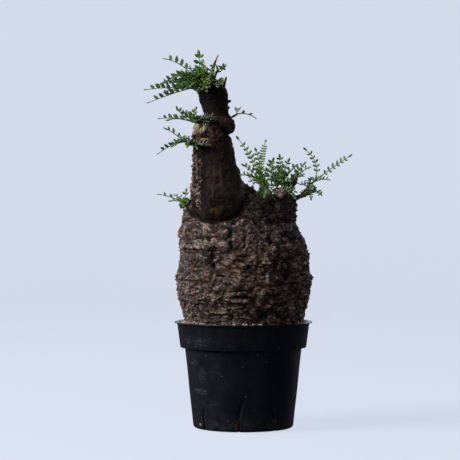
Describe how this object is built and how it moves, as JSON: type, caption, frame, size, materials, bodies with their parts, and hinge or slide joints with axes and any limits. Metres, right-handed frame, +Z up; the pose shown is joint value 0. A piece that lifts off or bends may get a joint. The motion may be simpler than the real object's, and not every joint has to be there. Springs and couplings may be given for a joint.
{
  "type": "potted operculicarya",
  "caption": "Potted caudiciform succulent: a swollen corky caudex with an upright knobbly trunk, sprays of small pinnate leaves and gritty soil in a round black nursery pot.",
  "frame": {"origin": "centre of the underside of the pot, on the surface that it stands on", "axes": "+Z up along the pot's axis, -Y towards the viewer of the picture, +X to the viewer's right, so that the trunk stands left of the axis"},
  "size_m": [0.2281, 0.15, 0.4111],
  "materials": {
    "pot_plastic": "satin black moulded plastic with dust and scuffs",
    "grit": null,
    "bark": "rough corky grey-brown bark, orange-brown in its cracks",
    "leaf": null
  },
  "bodies": {
    "root": {"pot": "pot_plastic", "soil": "grit", "wood": "bark", "leaves_crown": "leaf", "leaves_upper_left": "leaf", "leaves_side_bud": "leaf", "leaves_collar_left": "leaf", "leaves_knob_right": "leaf", "leaves_shoulder_inner": "leaf", "leaves_shoulder_middle": "leaf", "leaves_shoulder_outer": "leaf"}
  },
  "joints": []
}
